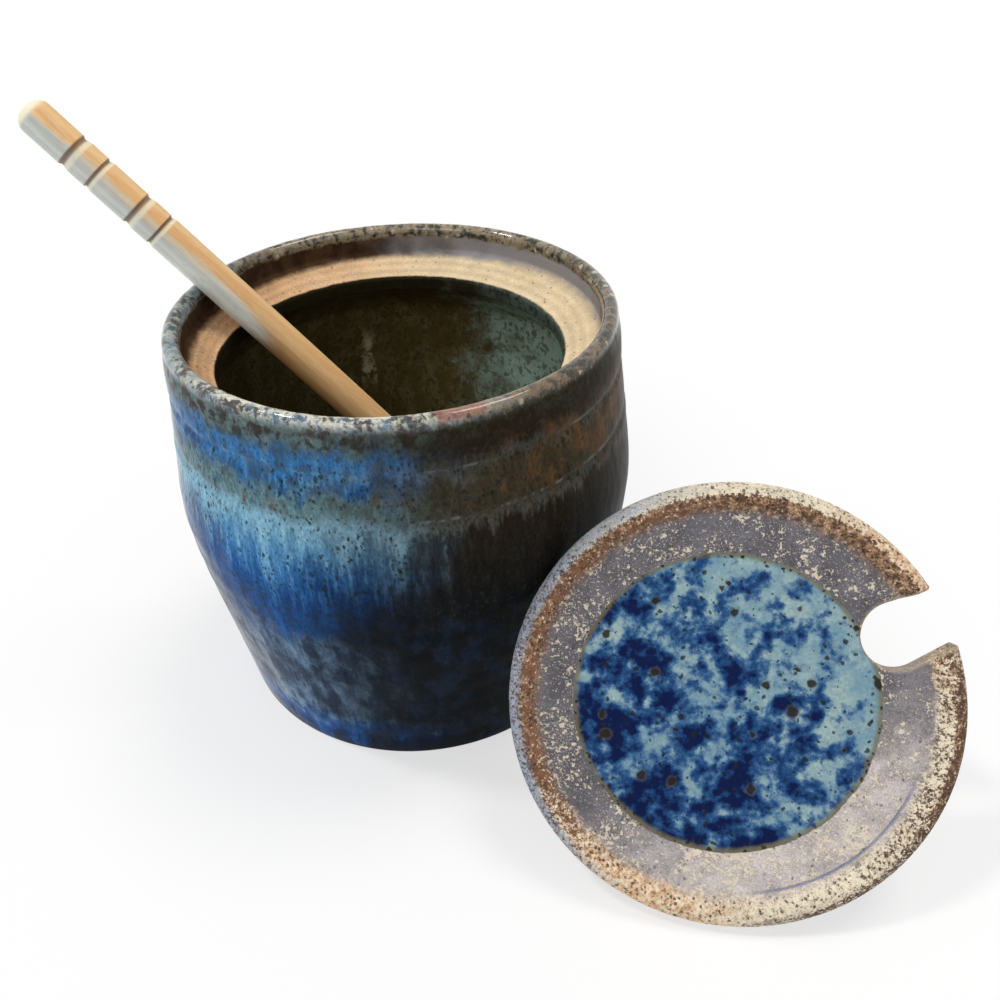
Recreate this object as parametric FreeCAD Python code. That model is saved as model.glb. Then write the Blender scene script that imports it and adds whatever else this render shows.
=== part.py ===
import FreeCAD, Part
import math
import os

# A stoneware honey pot, its notched lid and its wooden dipper, in millimetres.
# The origin is the middle of the pot's foot, with +Z up. The lid is off: it stands on its edge and leans
# on the pot's front right side. The dipper stands in the pot and leans over the back left of the lip.

Vector = FreeCAD.Vector
UP = Vector(0, 0, 1)

# Pot, outside. Heights are from the foot up, and drops are from the top of the lip down.
pot_height = 107.3
rim_diameter = 110.0
lip_thickness = 3.8
neck_diameter = 111.8
neck_drop = 6.5
collar_diameter = 113.4
collar_drop = 15.0
shoulder_diameter = 117.2
shoulder_drop = 28.0
belly_diameter = 121.2
belly_height = 60.0
hip_diameter = 112.6
hip_height = 17.2
foot_diameter = 109.4
foot_rounding = 1.2

# Two lines that the thrower's finger left round the shoulder.
line_drops = (12.8, 24.4)
line_width = 3.0
line_depth = 0.5

# Pot, inside: a gallery for the lid, a sloping seat, the mouth and the chamber.
gallery_depth = 7.0
seat_width = 8.2
seat_fall = 4.5
mouth_land = 3.4
mouth_rounding = 1.2
mouth_shift_x = -1.6
mouth_shift_y = -2.0
wall_thickness = 5.5
floor_thickness = 7.0
chamber_corner = 9.0
chamber_shoulder_drop = 25.3

# Lid: a flat disc with a rolled rim, a shallow dish for a pool of glaze, and a notch for the dipper.
lid_clearance = 1.0
lid_web = 4.2
lid_rim_height = 5.8
lid_side_height = 3.0
lid_back_rounding = 1.2
roll_width = 7.2
roll_shoulder = 1.7
land_width = 9.2
pool_depth = 0.4
pool_shift_x = -1.5
pool_shift_y = 0.5
notch_depth = 18.7
notch_waist = 2.0
notch_play = 1.85
notch_bearing = 29.2

# Where the lid stands: the tilt of its face from level, the way the face looks, and its side of the pot.
lid_tilt = 53.0
lid_facing = -106.4
lid_bearing = -50.2

# Dipper: a turned stick with two pairs of grooves at its upper end and a ribbed head at its foot.
dipper_length = 178.8
handle_diameter = 9.2
tip_diameter = 8.5
taper_length = 60.0
tip_dome = 3.0
groove_start = 12.6
groove_gap = 6.5
groove_pair_pitch = 17.5
groove_pairs = 2
wide_groove = 1.9
narrow_groove = 1.3
groove_depth = 0.45
head_diameter = 25.0
head_end_diameter = 17.0
head_length = 36.0
rib_count = 7
rib_share = 0.52
core_diameter = 9.6

# Where the dipper stands: the bearing of the lip it crosses, and its head's place on the chamber floor.
dipper_lip_bearing = 160.3
dipper_foot_bearing = 4.7
dipper_wall_gap = 3.3

# Pieces that only rest on each other keep this much air between them.
rest_gap = 0.3


def polar(radius, degrees, z=0.0):
    angle = math.radians(degrees)
    return Vector(radius * math.cos(angle), radius * math.sin(angle), z)


def section_point(radius, z):
    return Vector(radius, 0, z)


def revolve(edges):
    face = Part.Face(Part.Wire(edges))
    return face.revolve(Vector(0, 0, 0), UP, 360)


def line(start, end):
    return Part.makeLine(start, end)


def arc(start, middle, end):
    return Part.Arc(start, middle, end).toShape()


def corner_arc(centre, radius, from_degrees, to_degrees):
    """Arc in the section plane, with angles counted from the radius towards +Z."""
    def at(degrees):
        angle = math.radians(degrees)
        return section_point(centre.x + radius * math.cos(angle), centre.z + radius * math.sin(angle))
    return arc(at(from_degrees), at((from_degrees + to_degrees) / 2), at(to_degrees))


def disc_wire(radius, centre):
    return Part.Wire(Part.makeCircle(radius, centre, UP))


def bisect(low, high, is_high, steps=60):
    """Value between low and high at which is_high turns from false to true."""
    for _ in range(steps):
        middle = (low + high) / 2
        if is_high(middle):
            high = middle
        else:
            low = middle
    return (low + high) / 2


rim_radius = rim_diameter / 2
lip_radius = lip_thickness / 2
lip_centre_radius = rim_radius - lip_radius
lip_centre_z = pot_height - lip_radius
gallery_radius = rim_radius - lip_thickness
gallery_z = pot_height - gallery_depth
mouth_radius = gallery_radius - seat_width
mouth_z = gallery_z - seat_fall
mouth_centre = Vector(mouth_shift_x, mouth_shift_y, 0)


def make_wall_curve():
    stations = [
        section_point(foot_diameter / 2, foot_rounding),
        section_point(hip_diameter / 2, hip_height),
        section_point(belly_diameter / 2, belly_height),
        section_point(shoulder_diameter / 2, pot_height - shoulder_drop),
        section_point(collar_diameter / 2, pot_height - collar_drop),
        section_point(neck_diameter / 2, pot_height - neck_drop),
        section_point(rim_radius, lip_centre_z),
    ]
    curve = Part.BSplineCurve()
    curve.interpolate(stations)
    return curve


wall_curve = make_wall_curve()


def wall_parameter(z):
    """Place on the wall curve that lies at a height."""
    first = wall_curve.FirstParameter
    last = wall_curve.LastParameter
    return bisect(first, last, lambda value: wall_curve.value(value).z > z)


def wall_radius(z):
    """Outside radius of the pot at a height."""
    return wall_curve.value(wall_parameter(z)).x


def wall_edges():
    """The wall's section from the foot up, with an arc of the line's depth at each finger line."""
    edges = []
    here = wall_curve.FirstParameter
    for drop in sorted(line_drops, reverse=True):
        z = pot_height - drop
        below = wall_parameter(z - line_width / 2)
        above = wall_parameter(z + line_width / 2)
        bottom = section_point(wall_radius(z) - line_depth, z)
        edges.append(wall_curve.toShape(here, below))
        edges.append(arc(wall_curve.value(below), bottom, wall_curve.value(above)))
        here = above
    edges.append(wall_curve.toShape(here, wall_curve.LastParameter))
    return edges


def make_pot_body():
    foot_radius = foot_diameter / 2
    foot_centre = section_point(foot_radius - foot_rounding, foot_rounding)
    lip_centre = section_point(lip_centre_radius, lip_centre_z)
    edges = [
        line(section_point(0, 0), section_point(foot_centre.x, 0)),
        corner_arc(foot_centre, foot_rounding, -90, 0),
        *wall_edges(),
        corner_arc(lip_centre, lip_radius, 0, 180),
        line(section_point(gallery_radius, lip_centre_z), section_point(gallery_radius, gallery_z)),
        line(section_point(gallery_radius, gallery_z), section_point(0, gallery_z)),
        line(section_point(0, gallery_z), section_point(0, 0)),
    ]
    return revolve(edges)


chamber_top_z = pot_height - chamber_shoulder_drop
chamber_corner_z = floor_thickness + chamber_corner


def chamber_radius(z):
    return wall_radius(z) - wall_thickness


def make_chamber():
    middle_z = (chamber_corner_z + belly_height) / 2
    heights = [chamber_corner_z, middle_z, belly_height, chamber_top_z]
    curve = Part.BSplineCurve()
    curve.interpolate([section_point(chamber_radius(z), z) for z in heights])
    corner_centre = section_point(chamber_radius(chamber_corner_z) - chamber_corner, chamber_corner_z)
    edges = [
        line(section_point(0, floor_thickness), section_point(corner_centre.x, floor_thickness)),
        corner_arc(corner_centre, chamber_corner, -90, 0),
        curve.toShape(),
        line(section_point(chamber_radius(chamber_top_z), chamber_top_z), section_point(0, chamber_top_z)),
        line(section_point(0, chamber_top_z), section_point(0, floor_thickness)),
    ]
    return revolve(edges)


def make_pot():
    land_z = mouth_z - mouth_land
    seat_edge = disc_wire(gallery_radius, Vector(0, 0, gallery_z))
    mouth_edge = disc_wire(mouth_radius, mouth_centre + UP * mouth_z)
    land_edge = disc_wire(mouth_radius, mouth_centre + UP * land_z)
    chamber_edge = disc_wire(chamber_radius(chamber_top_z), Vector(0, 0, chamber_top_z))
    seat = Part.makeLoft([seat_edge, mouth_edge], True, True)
    mouth = Part.makeCylinder(mouth_radius, mouth_land, mouth_centre + UP * land_z, UP)
    underside = Part.makeLoft([land_edge, chamber_edge], True, True)
    hollow = make_chamber().multiFuse([underside, mouth, seat])
    pot = make_pot_body().cut(hollow)
    nose_edges = [
        edge for edge in pot.Edges
        if isinstance(edge.Curve, Part.Circle)
        and abs(edge.Curve.Radius - mouth_radius) < 0.01
        and min(abs(edge.Curve.Center.z - mouth_z), abs(edge.Curve.Center.z - land_z)) < 0.01
    ]
    return pot.makeFillet(mouth_rounding, nose_edges)


lid_radius = gallery_radius - lid_clearance
web_radius = lid_radius - roll_width
pool_radius = web_radius - land_width
crest_radius = lid_radius - roll_width / 2


def make_roll_curves():
    """Section of the roll: up the lid's side to the crest, then down to the flat web."""
    crest = section_point(crest_radius, lid_rim_height)
    rise = Part.BezierCurve()
    rise.setPoles([
        section_point(lid_radius, lid_side_height),
        section_point(lid_radius, lid_rim_height - roll_shoulder),
        section_point(crest_radius + roll_shoulder, lid_rim_height),
        crest,
    ])
    fall = Part.BezierCurve()
    fall.setPoles([
        crest,
        section_point(crest_radius - roll_shoulder, lid_rim_height),
        section_point(web_radius + roll_shoulder, lid_web),
        section_point(web_radius, lid_web),
    ])
    return rise, fall


def make_lid_disc():
    back_centre = section_point(lid_radius - lid_back_rounding, lid_back_rounding)
    rise, fall = make_roll_curves()
    edges = [
        line(section_point(0, 0), section_point(back_centre.x, 0)),
        corner_arc(back_centre, lid_back_rounding, -90, 0),
        line(section_point(lid_radius, lid_back_rounding), section_point(lid_radius, lid_side_height)),
        rise.toShape(),
        fall.toShape(),
        line(section_point(web_radius, lid_web), section_point(0, lid_web)),
        line(section_point(0, lid_web), section_point(0, 0)),
    ]
    return revolve(edges)


def lid_side_points(steps=8):
    """Section points of the lid's outer side, from its back edge to the crest of its roll."""
    points = []
    for step in range(steps + 1):
        angle = math.pi / 2 * step / steps
        points.append(section_point(
            lid_radius - lid_back_rounding * (1 - math.sin(angle)),
            lid_back_rounding * (1 - math.cos(angle))))
    rise, _ = make_roll_curves()
    points += [rise.value(step / steps) for step in range(steps + 1)]
    return points


def make_notch():
    """Keyhole cutter: a round inner end, and sides that close in a little towards the lid's edge."""
    half_mouth = handle_diameter / 2 + notch_play
    end_radius = half_mouth + notch_waist / 2
    end_x = lid_radius - notch_depth + end_radius
    reach = lid_radius - end_x
    # The side is the line from the notch's mouth that just touches the round end.
    touch = math.atan2(half_mouth, reach) + math.acos(end_radius / math.hypot(reach, half_mouth))
    touch_x = end_x + end_radius * math.cos(touch)
    touch_y = end_radius * math.sin(touch)
    slope = (half_mouth - touch_y) / (lid_radius - touch_x)
    outer_x = lid_radius + roll_width
    outer_y = half_mouth + slope * roll_width
    low = -lid_rim_height
    edges = [
        arc(Vector(touch_x, touch_y, low), Vector(end_x - end_radius, 0, low), Vector(touch_x, -touch_y, low)),
        line(Vector(touch_x, -touch_y, low), Vector(outer_x, -outer_y, low)),
        line(Vector(outer_x, -outer_y, low), Vector(outer_x, outer_y, low)),
        line(Vector(outer_x, outer_y, low), Vector(touch_x, touch_y, low)),
    ]
    cutter = Part.Face(Part.Wire(edges)).extrude(UP * (3 * lid_rim_height))
    cutter.rotate(Vector(0, 0, 0), UP, notch_bearing)
    return cutter


def lid_axes():
    """The lid's own level axis, its uphill axis and the way its face looks."""
    tilt = math.radians(lid_tilt)
    face = polar(math.sin(tilt), lid_facing, math.cos(tilt))
    level = UP.cross(face).normalize()
    return level, face.cross(level), face


def lid_centre():
    """Middle of the lid's back, with its lower edge on the ground and its side just clear of the pot."""
    level, uphill, face = lid_axes()
    side = []
    for point in lid_side_points():
        for degrees in range(0, 360, 3):
            around = polar(point.x, degrees)
            side.append(level * around.x + uphill * around.y + face * point.z)
    lift = -min(point.z for point in side)
    heights = [point.z + lift for point in side]
    allowed = [wall_radius(z) + rest_gap for z in heights]

    def is_clear(distance):
        away = polar(distance, lid_bearing)
        return all(
            math.hypot(point.x + away.x, point.y + away.y) > radius
            for point, radius in zip(side, allowed)
        )
    distance = bisect(0, 4 * rim_radius, is_clear, steps=30)
    return polar(distance, lid_bearing, lift)


def make_lid():
    pool_centre = Vector(pool_shift_x, pool_shift_y, lid_web - pool_depth)
    lid = make_lid_disc()
    lid = lid.cut(Part.makeCylinder(pool_radius, lid_rim_height, pool_centre, UP))
    lid = lid.cut(make_notch())
    level, uphill, face = lid_axes()
    centre = lid_centre()
    lid.Placement = FreeCAD.Placement(FreeCAD.Matrix(
        level.x, uphill.x, face.x, centre.x,
        level.y, uphill.y, face.y, centre.y,
        level.z, uphill.z, face.z, centre.z,
        0, 0, 0, 1))
    return lid


handle_radius = handle_diameter / 2
head_start = dipper_length - head_length


def head_envelope(along):
    """Radius of the egg-shaped head at a distance below its upper end."""
    from_middle = 2 * along / head_length - 1
    end_radius = head_end_diameter / 2
    if from_middle < 0:
        end_radius = handle_radius
    return head_diameter / 2 - (head_diameter / 2 - end_radius) * from_middle ** 2


def stick_radius(along):
    """Radius of the handle at a distance below its tip."""
    share = min(1.0, along / taper_length)
    return (tip_diameter + (handle_diameter - tip_diameter) * share) / 2


def groove_places():
    """Middle and width of each turned groove, from the tip down."""
    places = []
    for pair in range(groove_pairs):
        start = groove_start + pair * groove_pair_pitch
        places.append((start, wide_groove))
        places.append((start + groove_gap, narrow_groove))
    return places


def make_dipper_stick():
    """The dipper along +Z, with its tip at the origin and its foot at its length."""
    shoulder = section_point(stick_radius(tip_dome), tip_dome)
    bulge = math.radians(50)
    middle = section_point(shoulder.x * math.sin(bulge), tip_dome * (1 - math.cos(bulge)))
    edges = [arc(section_point(0, 0), middle, shoulder)]
    here = shoulder
    for place, width in groove_places():
        start = place - width / 2
        end = place + width / 2
        upper = section_point(stick_radius(start), start)
        bottom = section_point(stick_radius(place) - groove_depth, place)
        lower = section_point(stick_radius(end), end)
        edges.append(line(here, upper))
        edges.append(arc(upper, bottom, lower))
        here = lower
    full = section_point(handle_radius, taper_length)
    edges.append(line(here, full))
    here = full
    pitch = head_length / (rib_count - 1 + rib_share)
    rib = pitch * rib_share
    for index in range(rib_count):
        along = index * pitch
        core = core_diameter / 2
        if index == 0:
            core = handle_radius
        start = head_start + along
        corners = [
            section_point(core, start),
            section_point(head_envelope(along), start),
            section_point(head_envelope(along + rib), start + rib),
        ]
        if index < rib_count - 1:
            corners.append(section_point(core_diameter / 2, start + rib))
        for corner in corners:
            if (corner - here).Length > 1e-6:
                edges.append(line(here, corner))
                here = corner
    edges.append(line(here, section_point(0, dipper_length)))
    edges.append(line(section_point(0, dipper_length), section_point(0, 0)))
    return revolve(edges)


def line_to_circle(point, direction, radius, centre):
    """Least distance between an endless line and a level circle."""
    best = math.inf
    for degrees in range(0, 3600, 5):
        offset = centre + polar(radius, degrees / 10) - point
        best = min(best, (offset - direction * offset.dot(direction)).Length)
    return best


def dipper_direction(foot):
    """Way from tip to foot at which the handle just clears the lip and the edge of the mouth."""
    crossing = polar(lip_centre_radius, dipper_lip_bearing)
    level = Vector(foot.x - crossing.x, foot.y - crossing.y, 0)
    level.normalize()
    lip_centre = Vector(0, 0, lip_centre_z)
    seat_slope = math.atan2(seat_fall, seat_width)
    nose_drop = mouth_rounding * (1 - math.sin(seat_slope)) / math.cos(seat_slope)
    nose_centre = mouth_centre + UP * (mouth_z - nose_drop)
    nose_radius = mouth_radius + mouth_rounding

    def direction(lean):
        return level * math.cos(lean) - UP * math.sin(lean)

    def is_clear(lean):
        over_lip = line_to_circle(foot, direction(lean), lip_centre_radius, lip_centre)
        over_nose = line_to_circle(foot, direction(lean), nose_radius, nose_centre)
        lip_free = over_lip > lip_radius + handle_radius + rest_gap
        nose_free = over_nose > mouth_rounding + handle_radius + rest_gap
        high_enough = foot.z + math.tan(lean) * (crossing - foot).dot(level * -1) > pot_height
        return lip_free and nose_free and high_enough
    return direction(bisect(math.radians(20), math.radians(85), is_clear, steps=24))


def make_dipper():
    reach = chamber_radius(chamber_corner_z) - head_diameter / 2 - dipper_wall_gap
    end_radius = head_envelope(head_length)
    foot = polar(reach, dipper_foot_bearing, floor_thickness + end_radius)
    for _ in range(6):
        direction = dipper_direction(foot)
        drop = end_radius * math.hypot(direction.x, direction.y)
        foot.z = floor_thickness + rest_gap + drop
    dipper = make_dipper_stick()
    dipper.Placement = FreeCAD.Placement(foot - direction * dipper_length, FreeCAD.Rotation(UP, direction))
    return dipper


def export(node, shape):
    shape.exportStep("parts/" + node + ".step")


os.makedirs("parts", exist_ok=True)
export("pot", make_pot())
export("lid", make_lid())
export("dipper", make_dipper())
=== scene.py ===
import math

import bpy
from mathutils import Matrix, Vector, geometry, noise


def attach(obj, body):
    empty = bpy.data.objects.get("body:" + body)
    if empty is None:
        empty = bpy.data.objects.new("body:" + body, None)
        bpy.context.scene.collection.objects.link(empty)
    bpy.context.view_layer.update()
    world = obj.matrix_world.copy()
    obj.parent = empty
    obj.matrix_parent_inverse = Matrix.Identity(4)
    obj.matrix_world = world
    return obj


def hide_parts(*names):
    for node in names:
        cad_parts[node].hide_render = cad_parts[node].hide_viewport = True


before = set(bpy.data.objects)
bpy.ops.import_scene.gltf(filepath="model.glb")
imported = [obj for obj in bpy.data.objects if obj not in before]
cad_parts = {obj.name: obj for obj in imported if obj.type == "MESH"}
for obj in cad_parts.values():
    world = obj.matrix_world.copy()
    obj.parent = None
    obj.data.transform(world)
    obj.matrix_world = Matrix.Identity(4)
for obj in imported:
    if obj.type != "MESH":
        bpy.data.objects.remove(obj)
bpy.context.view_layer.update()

# ---------------------------------------------------------------------------------------------------
# The pot. Stoneware thrown on a wheel, with a gallery cut under its lip for the lid to sit in. A runny
# reactive glaze was poured outside and in: it went blue and milky where thick, brown and black where
# thin. The gallery, the seat and the foot were wiped bare, so that nothing stuck in the kiln.
# ---------------------------------------------------------------------------------------------------

pot_height = 0.1073
foot_radius = 0.0547
foot_rounding = 0.0012
rim_radius = 0.055
lip_radius = 0.0019
gallery_radius = 0.0512
gallery_height = 0.1003
mouth_radius = 0.043
mouth_height = 0.0958
mouth_land = 0.0034
mouth_rounding = 0.0012
mouth_shift = Vector((-0.0016, -0.002, 0))
chamber_top = 0.082
wall_thickness = 0.0055
floor_height = 0.007
chamber_corner = 0.009
line_heights = (0.0829, 0.0945)
line_depth = 0.0005
line_half_width = 0.0015
gallery_corner_rounding = 0.0008
shoulder_rounding = 0.004
wall_sway = 0.0003
throwing_pitch = 0.0075
throwing_outside = 0.00012
throwing_inside = 0.00022
lip_sway = 0.00035
lip_sway_from = 0.09
lip_bumps = 0.00007
lip_bumps_reach = 5
lip_steps = 16
pot_segments = 384
lip_glaze_ends = (3.6, 4.6)
gallery_ends = (9.8, 7.0)
seat_ends = (16.4, 17.0)
mm = 1000

wall_stations = (
    (0.0012, 0.0547), (0.0172, 0.0563), (0.06, 0.0606), (0.0793, 0.0586),
    (0.0923, 0.0567), (0.1008, 0.0559), (0.1054, 0.055),
)

deep_black = (0.003, 0.004, 0.005)
ink_blue = (0.01, 0.022, 0.05)
cobalt = (0.01, 0.102, 0.35)
bright_blue = (0.045, 0.185, 0.43)
sky_blue = (0.125, 0.32, 0.505)
pale_sky = (0.22, 0.425, 0.555)
sea_green = (0.13, 0.235, 0.26)
sea_shade = (0.07, 0.092, 0.088)
sea_pale = (0.3, 0.36, 0.35)
curd_blue = (0.04, 0.19, 0.45)
curd_deep = (0.025, 0.12, 0.3)
curd_dark = (0.008, 0.048, 0.15)
tide_teal = (0.06, 0.12, 0.15)
slate_blue = (0.205, 0.355, 0.55)
slate_dark = (0.07, 0.13, 0.22)
mauve_grey = (0.25, 0.275, 0.31)
mauve_deep = (0.112, 0.135, 0.195)
deep_olive = (0.04, 0.04, 0.026)
thin_grey = (0.066, 0.062, 0.05)
olive_brown = (0.044, 0.035, 0.02)
fleck_dark = (0.016, 0.02, 0.016)
dark_brown = (0.02, 0.014, 0.008)
deep_brown = (0.008, 0.008, 0.008)
rust_brown = (0.13, 0.06, 0.022)
# Cream of the lip's glaze dots, and of the painted highlight on the near side of the lip.
lip_cream_and_highlight = (0.76, 0.7, 0.54)
lip_teal = (0.33, 0.37, 0.33)
lip_blue = (0.12, 0.19, 0.27)
lip_brown = (0.06, 0.044, 0.026)
lip_amber = (0.19, 0.118, 0.06)
lip_straw = (0.42, 0.34, 0.21)
fringe_teal = (0.14, 0.2, 0.205)
fringe_brown = (0.04, 0.028, 0.018)
lip_rose = (0.3, 0.12, 0.075)
seat_cream = (0.9, 0.71, 0.45)
seat_rust = (0.86, 0.51, 0.27)
seat_grog = (0.9, 0.78, 0.6)
gallery_brown = (0.08, 0.04, 0.019)
gallery_dark = (0.026, 0.014, 0.008)
gallery_lilac = (0.36, 0.345, 0.36)
foot_clay = (0.33, 0.27, 0.21)
inner_olive = (0.1, 0.074, 0.024)
inner_green = (0.17, 0.135, 0.06)
inner_teal = (0.42, 0.62, 0.53)
inner_moss = (0.12, 0.14, 0.09)
inner_dark = (0.04, 0.034, 0.016)
# Cream of the painted highlight streak in the chamber.
chamber_highlight_cream = (0.62, 0.58, 0.4)


def along_curve(stations, place):
    """Value at a place on a smooth curve through stations of (place, value)."""
    last = len(stations) - 1
    index = max([i for i in range(last) if stations[i][0] <= place], default=0)

    def slope(at):
        low, high = max(at - 1, 0), min(at + 1, last)
        return (stations[high][1] - stations[low][1]) / (stations[high][0] - stations[low][0])

    start, start_value = stations[index]
    end, end_value = stations[index + 1]
    span = end - start
    part = (place - start) / span
    rest = 1 - part
    return (
        start_value * rest * rest * (1 + 2 * part)
        + end_value * part * part * (1 + 2 * rest)
        + slope(index) * span * part * rest * rest
        - slope(index + 1) * span * part * part * rest
    )


def pot_wall(height):
    """Outside radius of the pot, pressed in a little along each finger line."""
    radius = along_curve(wall_stations, height)
    for line in line_heights:
        away = min(1, abs(height - line) / line_half_width)
        radius -= line_depth * (0.5 + 0.5 * math.cos(math.pi * away))
    return radius


def arc_points(centre, radius, from_degrees, to_degrees, steps):
    """Section points of an arc, its first point left out."""
    points = []
    for step in range(1, steps + 1):
        angle = math.radians(from_degrees + (to_degrees - from_degrees) * step / steps)
        points.append((centre[0] + radius * math.cos(angle), centre[1] + radius * math.sin(angle)))
    return points


def straight_points(start, end, steps):
    """Section points of a straight run, its first point left out."""
    return [
        (start[0] + (end[0] - start[0]) * step / steps, start[1] + (end[1] - start[1]) * step / steps)
        for step in range(1, steps + 1)
    ]


def rounded_corner(before, corner, after, radius, steps):
    """Section points of an arc that rounds a corner."""
    back = (Vector(before) - Vector(corner)).normalized()
    ahead = (Vector(after) - Vector(corner)).normalized()
    half = math.acos(max(-1, min(1, back.dot(ahead)))) / 2
    centre = Vector(corner) + (back + ahead).normalized() * (radius / math.sin(half))
    first = Vector(corner) + back * (radius / math.tan(half)) - centre
    last = Vector(corner) + ahead * (radius / math.tan(half)) - centre
    turn = math.pi - 2 * half
    points = []
    for step in range(steps + 1):
        part = turn * step / steps
        spoke = first * math.sin(turn - part) + last * math.sin(part)
        points.append(tuple(centre + spoke.normalized() * radius))
    return points


def wall_points(radius_at, start, end, steps):
    """Section points of a curved wall between two heights, its first point left out."""
    heights = [start + (end - start) * step / steps for step in range(1, steps + 1)]
    return [(radius_at(height), height) for height in heights]


def add_piece(name, vertices, faces):
    """Puts a smooth mesh into the scene."""
    mesh = bpy.data.meshes.new(name)
    mesh.from_pydata(vertices, [], faces)
    mesh.polygons.foreach_set("use_smooth", [True] * len(faces))
    piece = bpy.data.objects.new(name, mesh)
    bpy.context.scene.collection.objects.link(piece)
    return piece


def turned_piece(name, rows, segments, place):
    """Closed piece of rings with a pole at each end. place() puts a ring's point where it belongs."""
    vertices = [place(0, rows[0])]
    for row in rows[1:-1]:
        for segment in range(segments):
            vertices.append(place(math.tau * segment / segments, row))
    vertices.append(place(0, rows[-1]))
    last = len(vertices) - 1
    last_ring = last - segments
    faces = []
    for segment in range(segments):
        following = (segment + 1) % segments
        faces.append((0, 1 + following, 1 + segment))
        for here in range(1, last_ring, segments):
            above = here + segments
            faces.append((here + segment, here + following, above + following, above + segment))
        faces.append((last_ring + segment, last_ring + following, last))
    return add_piece(name, vertices, faces)


def keep_values(piece, name, kind, values):
    """Gives every vertex of a piece a number or a vector of its own for the shader to read."""
    attribute = piece.data.attributes.new(name, kind, "POINT")
    field = "value" if kind == "FLOAT" else "vector"
    flat = values if kind == "FLOAT" else [part for value in values for part in value]
    attribute.data.foreach_set(field, flat)


class Wire:
    """A shader value. Sums and products of wires add the nodes that work them out."""

    def __init__(self, tree, socket):
        self.tree = tree
        self.socket = socket

    def node(self, kind, choices, sockets, output=0):
        """Adds a node with its choices and its socket values or links, and gives the wire it puts out."""
        made = self.tree.nodes.new(kind)
        for name, value in choices.items():
            setattr(made, name, value)
        for name, value in sockets.items():
            socket = made.inputs[name]
            if isinstance(value, Wire):
                self.tree.links.new(value.socket, socket)
            elif socket.type == "RGBA":
                socket.default_value = (*value, 1)
            else:
                socket.default_value = value
        return Wire(self.tree, made.outputs[output])

    def lean(self, amount):
        """How far the value is from a half, times an amount."""
        return (self - 0.5) * amount

    def maths(self, operation, *others):
        return self.node("ShaderNodeMath", {"operation": operation}, dict(enumerate((self, *others))))

    def __add__(self, other):
        return self.maths("ADD", other)

    def __sub__(self, other):
        return self.maths("SUBTRACT", other)

    def __rsub__(self, other):
        return self * -1 + other

    def __mul__(self, other):
        return self.maths("MULTIPLY", other)

    def __truediv__(self, other):
        return self.maths("DIVIDE", other)

    __radd__ = __add__
    __rmul__ = __mul__


def new_material(name):
    """A material's tree, its shader, and its place in millimetres."""
    material = bpy.data.materials.new(name)
    material.use_nodes = True
    tree = material.node_tree
    shader = tree.nodes["Principled BSDF"]
    place = Wire(tree, tree.nodes.new("ShaderNodeTexCoord").outputs["Object"])
    return material, shader, stretched(place, mm, mm, mm)


def stored(wire, name, output):
    """Wire of a value that was kept on the vertices."""
    return wire.node("ShaderNodeAttribute", {"attribute_name": name}, {}, output)


def join(shader, name, wire):
    """Feeds a wire into one of a shader's inputs."""
    wire.tree.links.new(wire.socket, shader.inputs[name])


def stretched(vector, x, y, z):
    """A place that shrinks what is drawn there along X, Y and Z."""
    return vector.node("ShaderNodeVectorMath", {"operation": "MULTIPLY"}, {0: vector, 1: (x, y, z)})


def drawn_out(vector, share):
    """A place that draws out upright what is drawn there."""
    return stretched(vector, 1, 1, share)


def split(vector):
    """The X, Y and Z wires of a place."""
    return [vector.node("ShaderNodeSeparateXYZ", {}, {0: vector}, output) for output in range(3)]


def distance(x, y):
    """How far a spot lies from the middle."""
    return (x * x + y * y).maths("SQRT")


def compass(x, y):
    """A function of degrees: near 1 on the side of a round piece that lies that way from its middle."""
    radius = distance(x, y)

    def facing(degrees):
        angle = math.radians(degrees)
        return (x * math.cos(angle) + y * math.sin(angle)) / radius

    return facing


def clouds(vector, size, detail=3.0, roughness=0.55, distortion=0.0):
    """Soft noise round a half, with lumps about as large as size."""
    return vector.node("ShaderNodeTexNoise", {}, {
        "Vector": vector, "Scale": 1 / size, "Detail": detail, "Roughness": roughness,
        "Distortion": distortion})


def shaken(vector, size, amount):
    """The same place, pushed about by noise, so that what is drawn there has ragged edges."""
    sockets = {"Vector": vector, "Scale": 1 / size, "Detail": 2.0}
    push = vector.node("ShaderNodeTexNoise", {}, sockets, "Color")
    centred = push.node("ShaderNodeVectorMath", {"operation": "SUBTRACT"}, {0: push, 1: (0.5, 0.5, 0.5)})
    return centred.node("ShaderNodeVectorMath", {"operation": "MULTIPLY_ADD"}, {
        0: centred, 1: (amount, amount, amount), 2: vector})


def rise(value, low, high):
    """0 below low and 1 above high, or the other way round where low is the larger."""
    return value.node("ShaderNodeMapRange", {"interpolation_type": "SMOOTHSTEP"}, {
        "Value": value, "From Min": low, "From Max": high})


def between(value, low, low_full, high_full, high):
    """0 outside low and high, and 1 from low_full to high_full."""
    return rise(value, low, low_full) * rise(value, high, high_full)


def mixed(factor, first, second):
    """The first colour where the factor is 0, the second where it is 1."""
    return factor.node("ShaderNodeMix", {"data_type": "RGBA"}, {0: factor, 6: first, 7: second}, 2)


def layered(colour, layers):
    """A colour with others laid over it in turn: each is where it lies and its own colour."""
    for share, layer in layers:
        colour = mixed(share, colour, layer)
    return colour


def tinted(colour, factor):
    """A colour brightened or darkened by a factor."""
    return colour.node("ShaderNodeVectorMath", {"operation": "SCALE"}, {0: colour, "Scale": factor})


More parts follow.
